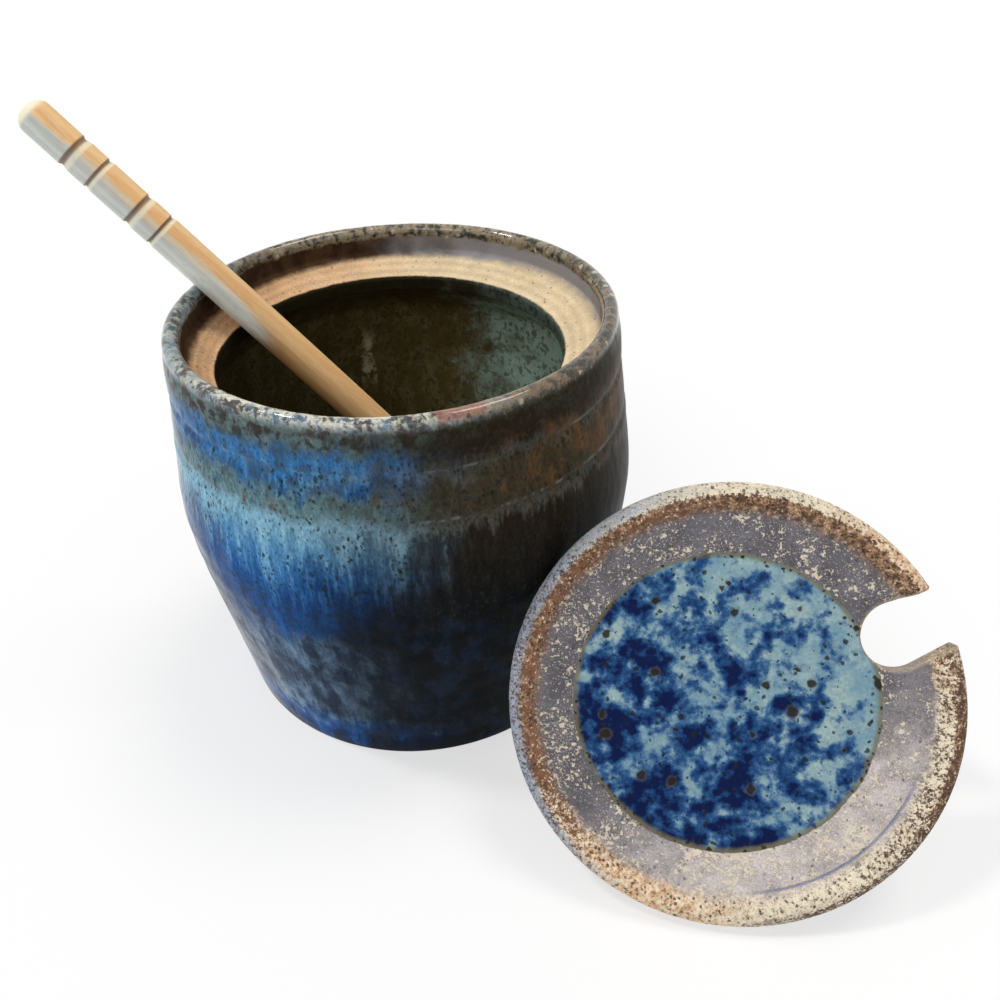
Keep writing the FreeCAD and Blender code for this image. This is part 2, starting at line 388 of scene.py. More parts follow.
def specks(vector, spacing, share, radius, flat=False):
    """Small round spots: 1 in a spot and 0 outside. Only a share of the cells has one."""
    choices = {"feature": "F1", "voronoi_dimensions": "2D" if flat else "3D"}
    sockets = {"Vector": vector, "Scale": 1 / spacing}
    near = vector.node("ShaderNodeTexVoronoi", choices, sockets, "Distance")
    chance, size, _ = split(Wire(near.tree, near.socket.node.outputs["Color"]))
    reach = (size * 0.7 + 0.4) * (radius / spacing)
    return rise(near / reach, 1.0, 0.6) * rise(chance, 1 - share, 1 - share + 0.01)


def shades(value, stops):
    """A colour ramp: stops are (place from 0 to 1, colour), lowest first."""
    made = value.node("ShaderNodeValToRGB", {}, {0: value})
    elements = made.socket.node.color_ramp.elements
    for element, (place, colour) in zip(elements, (stops[0], stops[-1])):
        element.position = place
        element.color = (*colour, 1)
    for place, colour in stops[1:-1]:
        elements.new(place).color = (*colour, 1)
    return made


def relief(height, strength=1.0):
    """Bump from a height in millimetres."""
    return height.node("ShaderNodeBump", {}, {"Height": height, "Strength": strength, "Distance": 0.001})


def chamber_wall(height):
    """Radius of the chamber: the wall's thickness in from the outside."""
    return along_curve(wall_stations, height) - wall_thickness


def pot_rows():
    """
    The pot's section from under its foot over the lip to its floor, in rows: radius, height, share of the
    mouth's shift, and millimetres along the section from the lip's top, which are negative outside.
    """
    foot_in = foot_radius - foot_rounding
    lip_centre = (rim_radius - lip_radius, pot_height - lip_radius)
    section = [(0, 0)] + straight_points((0, 0), (foot_in, 0), 8)
    section += arc_points((foot_in, foot_rounding), foot_rounding, -90, 0, 5)
    section += wall_points(pot_wall, foot_rounding, lip_centre[1], 112)
    section += arc_points(lip_centre, lip_radius, 0, 180, lip_steps)
    lip_top = len(section) - 1 - lip_steps // 2
    gallery_corner = (gallery_radius, gallery_height)
    nose = (mouth_radius, mouth_height)
    land = (mouth_radius, mouth_height - mouth_land)
    chamber = (chamber_wall(chamber_top), chamber_top)
    corner = rounded_corner(section[-1], gallery_corner, nose, gallery_corner_rounding, 4)
    upper_nose = rounded_corner(gallery_corner, nose, land, mouth_rounding, 6)
    lower_nose = rounded_corner(nose, land, chamber, mouth_rounding, 5)
    shoulder = rounded_corner(land, chamber, (chamber[0], floor_height), shoulder_rounding, 6)
    section += straight_points(section[-1], corner[0], 7) + corner[1:]
    section += straight_points(corner[-1], upper_nose[0], 12) + upper_nose[1:]
    section += straight_points(upper_nose[-1], lower_nose[0], 2) + lower_nose[1:]
    section += straight_points(lower_nose[-1], shoulder[0], 8) + shoulder[1:]
    wall_end = floor_height + chamber_corner
    section += wall_points(chamber_wall, shoulder[-1][1], wall_end, 30)
    corner_centre = (chamber_wall(wall_end) - chamber_corner, wall_end)
    section += arc_points(corner_centre, chamber_corner, 0, -90, 8)
    section += straight_points(section[-1], (0, floor_height), 6)
    along = [0.0]
    for before, after in zip(section, section[1:]):
        along.append(along[-1] + math.dist(before, after))
    rows = []
    for index, (radius, height) in enumerate(section):
        shift = 0
        if index >= lip_top and height > chamber_top:
            outside = gallery_radius if height > mouth_height - mouth_rounding else chamber[0]
            shift = max(0, min(1, (outside - radius) / (outside - mouth_radius)))
        rows.append((radius, height, shift, (along[index] - along[lip_top]) * mm))
    return rows


def pot_place(angle, row):
    """A point of the pot: as round as the wheel left it, with faint ridges and a slight sway."""
    radius, height, shift, along = row
    round_spot = Vector((math.cos(angle), math.sin(angle), 0))

    def swell(round_scale, seed, height_scale):
        return noise.noise(round_spot * round_scale + Vector((seed, 0, height * height_scale)))

    ridge = math.sin(math.tau * height / throwing_pitch + angle) * swell(0.8, 3, 30)
    out = wall_sway * swell(1.3, 0, 18) + (throwing_inside if along > 0 else throwing_outside) * ridge
    bumps = max(0, 1 - abs(along) / lip_bumps_reach) * lip_bumps
    out += bumps * swell(22, 0, 340)
    near_lip = max(0, (height - lip_sway_from) / (pot_height - lip_sway_from))
    lift = lip_sway * swell(1.7, 7, 0) * near_lip + bumps * swell(20, 5, 340)
    if radius < foot_radius / 2:
        out = 0
    return round_spot * (radius + out) + mouth_shift * shift + Vector((0, 0, height + lift))


rows = pot_rows()
pot = turned_piece("pot_stoneware", rows, pot_segments, pot_place)
pot_along = [rows[0][3]] + [row[3] for row in rows[1:-1] for _ in range(pot_segments)] + [rows[-1][3]]
keep_values(pot, "along", "FLOAT", pot_along)


def outside_glaze(place, along):
    """Colour of the glaze outside, a cloudy pale blue where thick and brown where thin, with painted
    highlights on the near side of the lip and along the finger lines, and how thick it lies.
    """
    x, y, height = split(place)
    facing = compass(x, y)

    def band(low, high, soft):
        return between(level, low - soft, low + soft, high - soft, high + soft)

    runs = clouds(drawn_out(place, 0.14), 4.5, 4, 0.62)
    threads = clouds(drawn_out(place, 0.12), 1.1, 4, 0.65)
    drift = clouds(place, 24.0, 3, 0.5)
    patches = clouds(drawn_out(place, 0.75), 8.5, 4, 0.6, 0.3)
    puffs = clouds(drawn_out(place, 0.7), 7.0, 4, 0.55, 0.3)
    smoke = clouds(drawn_out(place, 0.7), 4.0, 4, 0.58, 0.3)
    fizz = clouds(drawn_out(place, 0.7), 0.75, 3, 0.7)
    mottle = clouds(drawn_out(place, 0.42), 1.9, 5, 0.7)
    blotch = clouds(place, 3.6, 4, 0.6, 0.5)
    dapple = clouds(place, 2.0, 4, 0.62, 0.4)
    ragged = shaken(place, 1.0, 0.9)
    loose = rise(height, 84, 60)
    low = rise(height, 62, 42)
    level = (
        height + runs.lean(loose * 10 + 13) * (1 - low * 0.6)
        + threads.lean(loose * 2 + 8) * (1 - low * 0.4) + drift.lean(loose * 24) + puffs.lean(low * 18 + 8))
    share = level / (pot_height * mm)
    uneven = drift.lean(0.3) + runs.lean(0.26) + patches.lean(0.26) + smoke.lean(0.16)
    near = rise(facing(-150) + uneven - rise(height, 80, 50) * 0.24 + rise(height, 18, 12) * 0.16, 0.2, 0.93)
    far = rise(facing(35) + uneven - low * 0.1, 0.45, 1.05)
    thick = (near * near).maths("MAXIMUM", far * far)
    left = rise(facing(-176) + patches.lean(0.4) + smoke.lean(0.3) + low * 0.1, 0.74, 1.02)
    shady = rise(puffs + smoke.lean(0.6) + threads.lean(0.2), 0.66, 0.36)
    low_glaze = mixed(shady, mixed(left, slate_blue, mauve_grey), mixed(left, slate_dark, mauve_deep))
    thick_glaze = shades(share, (
        (0.0, ink_blue), (0.06, cobalt), (0.1, cobalt), (0.2, slate_dark), (0.42, slate_dark),
        (0.5, cobalt), (0.585, cobalt), (0.655, bright_blue), (0.705, sky_blue), (0.75, pale_sky),
        (0.768, pale_sky), (0.79, sea_green), (0.825, sea_green), (0.855, curd_deep), (0.875, curd_blue),
        (0.92, curd_blue), (0.945, tide_teal), (0.965, sea_shade), (1.0, sea_green)))
    thick_glaze = mixed(rise(level + smoke.lean(16), 6, 22) * rise(level, 54, 44), thick_glaze, low_glaze)
    thick_glaze = mixed(left * between(level, 46, 54, 70, 82) * 0.9, thick_glaze, mauve_deep)
    thin_glaze = shades(share, (
        (0.0, deep_black), (0.45, deep_black), (0.6, deep_brown), (0.735, dark_brown),
        (0.76, thin_grey), (0.785, olive_brown), (0.86, olive_brown), (0.885, thin_grey),
        (0.915, dark_brown), (0.97, dark_brown), (1.0, olive_brown)))
    colour = mixed(thick, thin_glaze, thick_glaze)
    curds = rise(patches + smoke.lean(0.5), 0.5, 0.38) * band(87, 98, 2) * rise(thick, 0.15, 0.6)
    veins = rise(runs + threads.lean(1.2) + smoke.lean(0.3), 0.52, 0.62) * rise(level, 60, 78) * thick
    sooty = rise(puffs + smoke.lean(0.6) + threads.lean(0.3), 0.56, 0.3) * rise(level, 66, 50)
    inky = rise(patches + smoke.lean(0.7), 0.52, 0.66) * band(86, 99, 3) * rise(thick, 0.25, 0.7)
    muddy = rise(smoke + patches.lean(0.6), 0.5, 0.38) * band(83, 100, 2) * rise(fizz, 0.42, 0.56)
    rusty = rise(clouds(drawn_out(place, 0.6), 5.0, 5, 0.65), 0.4, 0.68) * band(84, 99, 3)
    rusty = rusty * rise(facing(-36) + uneven, 0.72, 0.97)
    crumbs = rise(clouds(drawn_out(place, 0.55), 3.4, 4, 0.65), 0.6, 0.68) * band(83, 92, 1.5)
    lined_up = rise(runs + threads.lean(0.7), 0.36, 0.54)
    flecks = specks(drawn_out(ragged, 0.6), 1.7, 0.85, 0.68) * band(60, 99, 6) * lined_up
    grit = specks(drawn_out(ragged, 0.6), 1.0, 0.85, 0.42) * band(54, 101, 6) * (lined_up * 0.6 + 0.25)
    colour = layered(colour, (
        (curds * 0.35, mixed(rise(smoke, 0.42, 0.6), sea_shade, sea_green)),
        (veins * 0.35, mixed(rise(height, 86, 82), sea_green, pale_sky)),
        (sooty * 0.6, ink_blue), (inky * 0.75, curd_dark), (muddy * 0.5, deep_olive),
        (rusty * 0.8, rust_brown), (crumbs * 0.6, rust_brown), (flecks * 0.85, fleck_dark),
        (grit * 0.85, fleck_dark)))
    colour = tinted(colour, threads * 1.1 + runs * 0.5 + fizz * 1.7 - 0.65)
    # Along the two finger lines the glaze thins pale over the ridge, and the pale line is also a painted
    # highlight where the ridge catches the light.
    ragged_height = height + runs.lean(0.8)
    lower_ridge_mark = rise((ragged_height - 83.6).maths("ABSOLUTE"), 0.8, 0.1)
    upper_ridge_mark = rise((ragged_height - 95.3).maths("ABSOLUTE"), 0.6, 0.1) * 0.7
    ridge_break_and_highlight = lower_ridge_mark.maths("MAXIMUM", upper_ridge_mark) * rise(puffs + mottle.lean(0.8), 0.46, 0.66)
    streaks = rise(threads * 0.4 + dapple * 0.6 + blotch.lean(0.7), 0.4, 0.6)
    fringe = mixed(streaks, mixed(thick, deep_olive, fringe_teal), mixed(thick, dark_brown, fringe_brown))
    drip = (threads + runs + dapple - 1.5) * 6 + thick * 1.2
    colour = layered(colour, (
        (ridge_break_and_highlight * (0.34 - thick * 0.16), sea_pale),
        (rise(along + drip, -9.5, -4.5) * 0.85, tinted(fringe, fizz * 1.2 + 0.4))))
    # Painted highlight: cream over the top of the lip on its near side, where the lip catches the light.
    near_lip_highlight = rise(facing(-108) + blotch.lean(0.7), 0.6, 1.05)
    near_lip_highlight = near_lip_highlight * rise(along + dapple.lean(5), -3.2, -1.2) * rise(dapple + mottle.lean(0.6), 0.58, 0.42)
    umber = layered(mixed(rise(dapple + blotch.lean(0.6), 0.42, 0.58), lip_amber, deep_olive), (
        (rise(facing(80) + blotch, 0.7, 1.4) * rise(dapple, 0.6, 0.46) * 0.6, lip_straw),
        (specks(ragged, 3.0, 0.6, 1.0) * 0.55, lip_cream_and_highlight)))
    rose = rise(facing(-78) + dapple.lean(0.01), 0.993, 0.9975) * rise(along, -3.4, -1.6)
    lip = layered(mixed(rise(dapple + mottle.lean(0.4), 0.38, 0.62), lip_teal, lip_blue), (
        (rise(blotch + dapple.lean(0.7), 0.46, 0.64) * 0.9, lip_brown), (near_lip_highlight * 0.85, lip_cream_and_highlight),
        (rise(facing(35) + blotch.lean(0.7), -0.62, -0.16) * 0.9, umber), (rose * 0.75, lip_rose),
        (specks(ragged, 1.9, 0.7, 0.62) * 0.7, dark_brown)))
    crown = rise(along + threads.lean(3) + dapple.lean(4) + blotch.lean(3), -4.3, -2.3)
    return mixed(crown, colour, tinted(lip, fizz * 1.4 + mottle * 0.6 + 0.05)), thick


def inside_glaze(place):
    """Colour of the glaze in the chamber, with a painted highlight streak down its far wall and its teal
    right wall painted brighter for the light that falls on it.
    """
    x, y, height = split(place)
    facing = compass(x, y)
    runs = clouds(drawn_out(place, 0.3), 6.0, 4, 0.6)
    blots = clouds(drawn_out(place, 0.8), 3.0, 4, 0.62, 0.4)
    dots = clouds(drawn_out(place, 0.8), 1.5, 3, 0.6, 0.3)
    # The chamber's right wall is teal glaze, painted much brighter than the rest of the inside for the light
    # that falls on it.
    teal = rise(facing(18) + clouds(place, 9, 3).lean(0.6) + blots.lean(0.3), 0.6, 0.98)
    teal = teal * rise(distance(x, y) + runs.lean(30), 16, 38) * (1 - rise(height, 86, 92) * 0.6)
    teal_glaze_and_light = mixed(rise(dots + blots.lean(0.8), 0.5, 0.64) * 0.75, inner_teal, inner_moss)
    # Painted highlight: a pale upright streak down the far wall of the chamber, where a soft reflection
    # shows.
    chamber_highlight_streak = rise(facing(101) + clouds(drawn_out(place, 0.3), 3.0).lean(0.006), 0.9986, 0.9999)
    chamber_highlight_streak = chamber_highlight_streak * between(height, 52, 60, 66, 78) * rise(blots, 0.4, 0.58)
    colour = layered(mixed(rise(runs * 0.4 + blots * 0.6, 0.42, 0.6), inner_olive, inner_green), (
        (rise(dots + blots.lean(0.6), 0.52, 0.66) * 0.7, inner_dark),
        (rise(height + blots.lean(8), 84, 90) * 0.85, inner_dark), (teal, teal_glaze_and_light), (chamber_highlight_streak * 0.8, chamber_highlight_cream)))
    return tinted(colour, clouds(place, 0.9, 3, 0.7) * 0.9 + 0.55)


def bare_clay(place, light, dark, grog, crowd, coarse):
    """Colour of unglazed stoneware with its grains of grog, and the grains' relief."""
    tone = clouds(place, 6.0, 5, 0.6)
    fine = clouds(place, 0.45, 4, 0.72)
    grain = fine.lean(coarse)
    colour = tinted(mixed(rise(tone + grain, 0.25, 0.75), dark, light), grain + 1.0)
    gather = rise(clouds(place, 9.0, 3), 0.34, 0.62) * crowd
    grains = rise(clouds(place, 0.95, 2, 0.6) + gather.lean(0.1), 0.6, 0.65)
    small = rise(clouds(place, 0.42, 2, 0.6) + gather.lean(0.06), 0.6, 0.66)
    pits = specks(stretched(place, 1.1, 0.9, 1.0), 1.5, 0.5, 0.4)
    colour = layered(colour, ((grains * 0.8, grog), (small * 0.65, grog), (pits * 0.55, gallery_brown)))
    height = grains * 0.1 + small * 0.05 - pits * 0.1 + fine.lean(0.14) + tone.lean(0.1)
    return colour, height


pot_material, shader, place = new_material("pot_glaze_and_clay")
along = stored(place, "along", "Fac")
x, y, height = split(place)
sunny = rise(x + y * 0.05 + clouds(place, 8).lean(24), -32, 24)
seat_light = mixed(sunny, seat_rust, seat_cream)
clay, clay_height = bare_clay(place, seat_light, tinted(seat_light, 0.76), seat_grog, 0.5, 0.5)
border = clouds(place, 3.0, 4, 0.6).lean(2.6)
far_left = rise(y - x * 0.6, -4, 34)
gallery = rise(along + border * 0.7 - far_left * 1.8, *gallery_ends)
lilac = rise(x * 0.75 + y * 0.5 + clouds(place, 7).lean(26), 18, 44)
umber = mixed(rise(clouds(drawn_out(place, 0.6), 4.0, 4, 0.6), 0.36, 0.66), gallery_dark, gallery_brown)
clay = mixed(gallery * 0.97, clay, mixed(lilac, umber, gallery_lilac))
turning = (along * (math.tau / 2.6) + clouds(place, 20).lean(3)).maths("SINE") * rise(along, 10, 11)
clay = tinted(clay, turning * 0.07 + 0.97)
clay = mixed(rise(height, 0.9, 0.3), clay, foot_clay)
outer, thick = outside_glaze(place, along)
inner = tinted(inside_glaze(place), rise(along + border * 0.5, 19.5, 22.5) * 0.62 + 0.38)
is_clay = rise(along + border, *lip_glaze_ends) * (1 - rise(along + border * 0.3, *seat_ends))
is_clay = is_clay.maths("MAXIMUM", rise(height + border * 0.3, 1.0, 0.5) * rise(along, 0, -1))
glazed = mixed(rise(along, 10, 11), outer, inner)
join(shader, "Base Color", mixed(is_clay, glazed, clay))
join(shader, "Coat Weight", between(along, -4.0, -2.0, 3.0, 4.0))
gloss = clouds(place, 3.0) * 0.1 + 0.06 + (1 - thick) * rise(along, -3, -8) * 0.24
join(shader, "Roughness", gloss * (1 - is_clay) + is_clay * 0.72)
ripple = clouds(drawn_out(place, 0.5), 5.0, 2, 0.5) * 0.3 + clouds(place, 0.9, 2) * 0.03
join(shader, "Normal", relief(ripple * (1 - is_clay) + (clay_height + turning * 0.06) * is_clay))
shader.inputs["Specular IOR Level"].default_value = 0.025
shader.inputs["Coat IOR"].default_value = 1.4
shader.inputs["Coat Roughness"].default_value = 0.06
pot.data.materials.append(pot_material)
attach(pot, "root")
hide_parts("pot")

# ---------------------------------------------------------------------------------------------------
# The lid. A stoneware disc with a rolled rim, a pool of glaze in a shallow dish and a keyhole notch
# cut in from its edge for the dipper. The rest is bare clay full of grog. It leans on the pot's side.
# ---------------------------------------------------------------------------------------------------

lid_radius = 0.0502
lid_web = 0.0042
lid_rim_height = 0.0058
lid_side_height = 0.003
roll_width = 0.0072
pool_radius = 0.0338
pool_depth = 0.0004
pool_shift = (-0.0015, 0.0005)
notch_depth = 0.0187
notch_half_mouth = 0.00645
notch_end_radius = 0.00745
notch_bearing = math.radians(29.2)
edge_rounding = 0.00085
lid_facing = -106.4
lid_elevation = 37
lid_back_centre = Vector((0.06647, -0.07977, 0.03976))
pool_slope = 0.0009
face_sway = 0.00012
face_grain = 0.00005
turning_pitch = 0.0021
turning_depth = 0.00003
rounding_steps = 7
edge_steps = 420
notch_side_steps = 16
notch_end_steps = 46
side_rows = 3
back_spacing = 0.0022
face_spacing = 0.0006
notch_reach = 8.0

clay_light = (0.192, 0.184, 0.206)
clay_lilac = (0.76, 0.68, 0.665)
clay_grog = (0.9, 0.78, 0.61)
roll_cream = (0.96, 0.84, 0.64)
roll_brown = (0.15, 0.088, 0.06)
roll_rust = (0.065, 0.038, 0.03)
roll_orange = (0.36, 0.165, 0.09)
roll_amber = (0.52, 0.31, 0.18)
roll_gold = (0.88, 0.54, 0.31)
roll_char = (0.05, 0.03, 0.022)
# Pale blue of the painted light on the roll's left edge.
roll_sky_light = (0.46, 0.55, 0.68)
groove_blue = (0.2, 0.24, 0.4)
edge_cream = (0.55, 0.45, 0.32)
pool_celadon = (0.19, 0.32, 0.39)
pool_pale = (0.31, 0.43, 0.43)
pool_mid = (0.075, 0.17, 0.3)
pool_blue = (0.014, 0.066, 0.19)
pool_navy = (0.001, 0.008, 0.058)
pool_olive = (0.17, 0.15, 0.075)
pool_iron = (0.016, 0.014, 0.01)


def direction(azimuth, elevation):
    """The way that points to an azimuth and an elevation, both in degrees."""
    round_way, up = math.radians(azimuth), math.radians(elevation)
    return Vector((math.cos(up) * math.cos(round_way), math.cos(up) * math.sin(round_way), math.sin(up)))


lid_face = direction(lid_facing, lid_elevation)
lid_level = Vector((0, 0, 1)).cross(lid_face).normalized()
lid_uphill = lid_face.cross(lid_level)
notch_end = lid_radius - notch_depth + notch_end_radius
notch_turn = (
    math.atan2(notch_half_mouth, lid_radius - notch_end)
    + math.acos(notch_end_radius / math.hypot(lid_radius - notch_end, notch_half_mouth)))
notch_normal = Vector((math.cos(notch_turn), math.sin(notch_turn)))
notch_run = Vector((math.sin(notch_turn), -math.cos(notch_turn)))
notch_side = notch_normal.x * notch_end + notch_end_radius
tip_out = notch_side + edge_rounding
lid_tip = notch_normal * tip_out + notch_run * math.sqrt((lid_radius - edge_rounding) ** 2 - tip_out ** 2)


def turn_by(point, angle):
    return Vector((
        point[0] * math.cos(angle) - point[1] * math.sin(angle),
        point[0] * math.sin(angle) + point[1] * math.cos(angle)))


def lid_outline(inset):
    """The lid's outline in plan, drawn in by inset from its edge and from the notch's."""
    tip_radius = edge_rounding - inset
    end_radius = notch_end_radius + inset
    tip = math.degrees(math.atan2(lid_tip.y, lid_tip.x))
    side = math.degrees(notch_turn - math.pi)
    end = math.degrees(notch_turn)
    outline = arc_points((0, 0), lid_radius - inset, tip, 360 - tip, edge_steps)
    outline += arc_points((lid_tip.x, -lid_tip.y), tip_radius, -tip, -side, rounding_steps)
    inner = (notch_end + end_radius * notch_normal.x, end_radius * notch_normal.y)
    outline += straight_points(outline[-1], (inner[0], -inner[1]), notch_side_steps)
    outline += arc_points((notch_end, 0), end_radius, -end, end - 360, notch_end_steps)
    upper = (lid_tip.x - notch_normal.x * tip_radius, lid_tip.y - notch_normal.y * tip_radius)
    outline += straight_points(outline[-1], upper, notch_side_steps)
    outline += arc_points(lid_tip, tip_radius, side, tip, rounding_steps)
    return [turn_by(point, notch_bearing) for point in outline]


def notch_distance(point):
    """How far a point in plan is from the notch's edge."""
    across, aside = turn_by(point, -notch_bearing)
    spot = Vector((across - notch_end, abs(aside)))
    if spot.dot(notch_run) > 0:
        return spot.dot(notch_normal) - notch_end_radius
    return spot.length - notch_end_radius


def round_off(distance, radius):
    """How far a rounded edge has dropped, at a distance in from it."""
    left = max(0, radius - distance)
    return radius - math.sqrt(max(0, radius * radius - left * left))


def lid_top(point):
    """Height of the lid's face over its back."""
    from_middle = Vector(point).length
    half_roll = roll_width / 2
    crest = lid_radius - half_roll
    if from_middle > crest:
        part = min(1, (from_middle - crest) / half_roll)
        height = lid_side_height + (lid_rim_height - lid_side_height) * math.sqrt(1 - part * part)
    else:
        part = max(0, 1 - (crest - from_middle) / half_roll)
        height = lid_web + (lid_rim_height - lid_web) * part * part * (3 - 2 * part)
    from_pool = math.dist(point, pool_shift)
    sunk = max(0, min(1, (pool_radius - from_pool) / pool_slope))
    height -= pool_depth * sunk * sunk * (3 - 2 * sunk)
    spot = Vector((point[0], point[1], 0))
    height += face_sway * noise.noise(spot * 60) + face_grain * noise.noise(spot * 300)
    height += turning_depth * math.sin(from_middle * math.tau / turning_pitch) * (1 - sunk)
    return height - round_off(notch_distance(point), edge_rounding)


def filled(outline, spacing, height):
    """Corners lifted to height() and triangles that fill an outline, and where its own points went."""
    points = [Vector(point) for point in outline]
    room = edge_rounding + spacing * 0.45
    ring_radius = spacing
    points.append(Vector((0, 0)))
    while ring_radius < lid_radius - room:
        count = round(math.tau * ring_radius / spacing)
        for step in range(count):
            spot = turn_by((ring_radius, 0), math.tau * (step + ring_radius / spacing * 0.37) / count)
            if notch_distance(spot) > room:
                points.append(spot)
        ring_radius += spacing
    result = geometry.delaunay_2d_cdt(points, [], [list(range(len(outline)))], 1, 1e-9)
    corners = [(point.x, point.y, height(point)) for point in result[0]]
    return corners, [tuple(face) for face in result[2]], result[3]


def lid_mesh():
    """The lid's own points and faces: two filled faces joined by rows round the rounded edge."""
    turns = [math.pi / 2 * step / rounding_steps for step in range(rounding_steps + 1)]
    insets = [edge_rounding * (1 - math.cos(turn)) for turn in turns]
    outlines = [lid_outline(inset) for inset in insets]
    count = len(outlines[0])
    vertices = []
    faces = []

    def add_face(spacing, height, is_front):
        """Fills one face and gives the loop of vertices along its outline."""
        corners, triangles, sources = filled(outlines[-1], spacing, height)
        start = len(vertices)
        vertices.extend(corners)
        first, second, third = (Vector(corners[index]) for index in triangles[0])
        turned = ((second - first).cross(third - first).z > 0) != is_front
        for triangle in triangles:
            shifted = tuple(start + index for index in triangle)
            faces.append(shifted[::-1] if turned else shifted)
        places = {original: start + index for index, source in enumerate(sources) for original in source}
        return [places[index] for index in range(count)]

    def add_row(outline, height):
        """Adds a row of vertices on an outline and gives their loop."""
        start = len(vertices)
        vertices.extend((point.x, point.y, height(point)) for point in outline)
        return list(range(start, start + count))

    loops = [add_face(back_spacing, lambda point: 0.0, False)]
    front_loop = add_face(face_spacing, lid_top, True)
    for inset, outline in list(zip(insets, outlines))[-2::-1]:
        loops.append(add_row(outline, lambda point, inset=inset: round_off(inset, edge_rounding)))
    for row in range(1, side_rows + 1):
        loops.append(add_row(outlines[0], lambda point, row=row: (
            edge_rounding + (lid_top(point) - edge_rounding) * row / (side_rows + 1))))
    for outline in outlines[:-1]:
        loops.append(add_row(outline, lid_top))
    loops.append(front_loop)
    for lower, upper in zip(loops, loops[1:]):
        for index in range(count):
            after = (index + 1) % count
            corners = tuple(dict.fromkeys((lower[index], lower[after], upper[after], upper[index])))
            if len(corners) > 2:
                faces.append(corners)
    return vertices, faces


lid_points, lid_faces = lid_mesh()
lid = add_piece("lid_stoneware", [
    lid_back_centre + lid_level * u + lid_uphill * v + lid_face * w for u, v, w in lid_points], lid_faces)
keep_values(lid, "local", "FLOAT_VECTOR", [Vector(point) * mm for point in lid_points])
keep_values(lid, "notch", "FLOAT", [min(notch_reach, notch_distance(point[:2]) * mm) for point in lid_points])


def pool_glaze(place, from_border, u, v):
    """Colour of the glaze pool: celadon with cobalt curds and iron spots."""
    curds = clouds(place, 5.6, 2, 0.5)
    curls = clouds(place, 2.3, 5, 0.66, 0.1)
    thick = curds * 0.6 + curls * 0.4 + (u + v) * -0.0016
    colour = layered(mixed(rise(clouds(place, 7, 4), 0.38, 0.64), pool_celadon, pool_pale), (
        (rise(thick, 0.415, 0.5), pool_mid), (rise(thick, 0.465, 0.54), pool_blue),
        (rise(thick, 0.525, 0.61), pool_navy)))
    colour = tinted(colour, clouds(place, 0.9, 4, 0.72) * 1.1 + 0.45)
    ragged = shaken(shaken(place, 2.6, 1.6), 0.8, 0.7)
    iron = specks(ragged, 8.5, 0.42, 1.35, True)
    along_border = specks(ragged, 1.9, 0.6, 0.55, True) * rise(from_border, 2.6, 0.8)
    return layered(colour, (
        (rise(from_border + curls.lean(1.6), 1.5, 0.3) * 0.8, pool_olive),
        (specks(ragged, 8.5, 0.42, 1.8, True) * 0.3, pool_olive), (iron * 0.92, pool_iron),
        (specks(ragged, 3.4, 0.42, 0.68, True) * 0.85, pool_iron),
        (specks(ragged, 1.9, 0.34, 0.4, True) * 0.8, pool_iron), (along_border * 0.8, pool_iron))), iron


lid_material, shader, place = new_material("lid_clay_and_glaze")
local = stored(place, "local", "Vector")
notch = stored(place, "notch", "Fac")
u, v, face_height = split(local)
toward = compass(u, v)
from_middle = distance(u, v)
low_side = rise(toward(-62) + clouds(local, 12.0, 3).lean(0.7), -0.35, 1.0)
low_side = low_side * low_side * low_side
ground = mixed(low_side, clay_light, clay_lilac)
clay, clay_height = bare_clay(
    shaken(local, 0.9, 0.5), ground, tinted(ground, 0.54), clay_grog, low_side * 0.9 + 1.0, 0.75)
waver = clouds(local, 4.0, 3).lean(2.4)
grit = clouds(local, 0.48, 4, 0.75)
crumbs = clouds(local, 1.2, 4, 0.7)
on_roll = rise(from_middle + waver + grit.lean(3) + crumbs.lean(2), 42.2, 45.0)
# Painted light on the roll: cream where its slopes face the light, on its lower side, on the outside of its
# crest at the top, and on its inner slope at the right.
bottom = rise(toward(-88) + waver * 0.08, 0.2, 0.95)
outward = from_middle + waver * 0.6
crest = rise(outward, 46.6, 48.2) * rise(toward(80) + waver * 0.05, 0.15, 0.65)
inland = rise(outward, 48.0, 46.4) * rise(toward(-20) + waver * 0.05, 0.35, 0.8)
roll_light = bottom.maths("MAXIMUM", crest).maths("MAXIMUM", inland * 0.68)
clumps = clouds(local, 3.2, 4, 0.62, 0.3)
golden = rise(toward(-130) + waver * 0.06, 0.55, 0.95)
golden = golden.maths("MAXIMUM", rise(toward(38) + waver * 0.06, 0.8, 1.0)) * rise(crumbs, 0.62, 0.44)
# The roll's cream grains, drawn more often where the roll is painted lit.
pale = rise(grit + crumbs.lean(0.9) + roll_light.lean(0.34), 0.47, 0.59)
# Painted shade: the outer edge of the roll at the lower right, which faces down and away from the light, is
# darkened to roll brown.
outer_edge_shade = rise(outward, 46.9, 48.6) * rise(toward(-25) + waver * 0.05, 0.45, 0.85)
roll = rise(crumbs + grit.lean(0.6) + clumps.lean(0.5), 0.4, 0.62)
roll = layered(mixed(roll, roll_brown, roll_amber), (
    (pale, mixed(golden, roll_cream, roll_gold)),
    (specks(shaken(local, 0.8, 0.8), 1.1, 0.6, 0.5) * 0.8, roll_char),
    (rise(clumps + grit.lean(0.5), 0.6, 0.72) * 0.6, roll_char),
    (outer_edge_shade * rise(grit + crumbs.lean(0.6), 0.64, 0.46), roll_brown)))
inner_slope = rise(from_middle + waver + crumbs.lean(3), 47.6, 45.2) * rise(toward(165), 0.2, 0.8)
rust = mixed(rise(clumps + crumbs.lean(0.8), 0.36, 0.62), roll_orange, roll_rust)
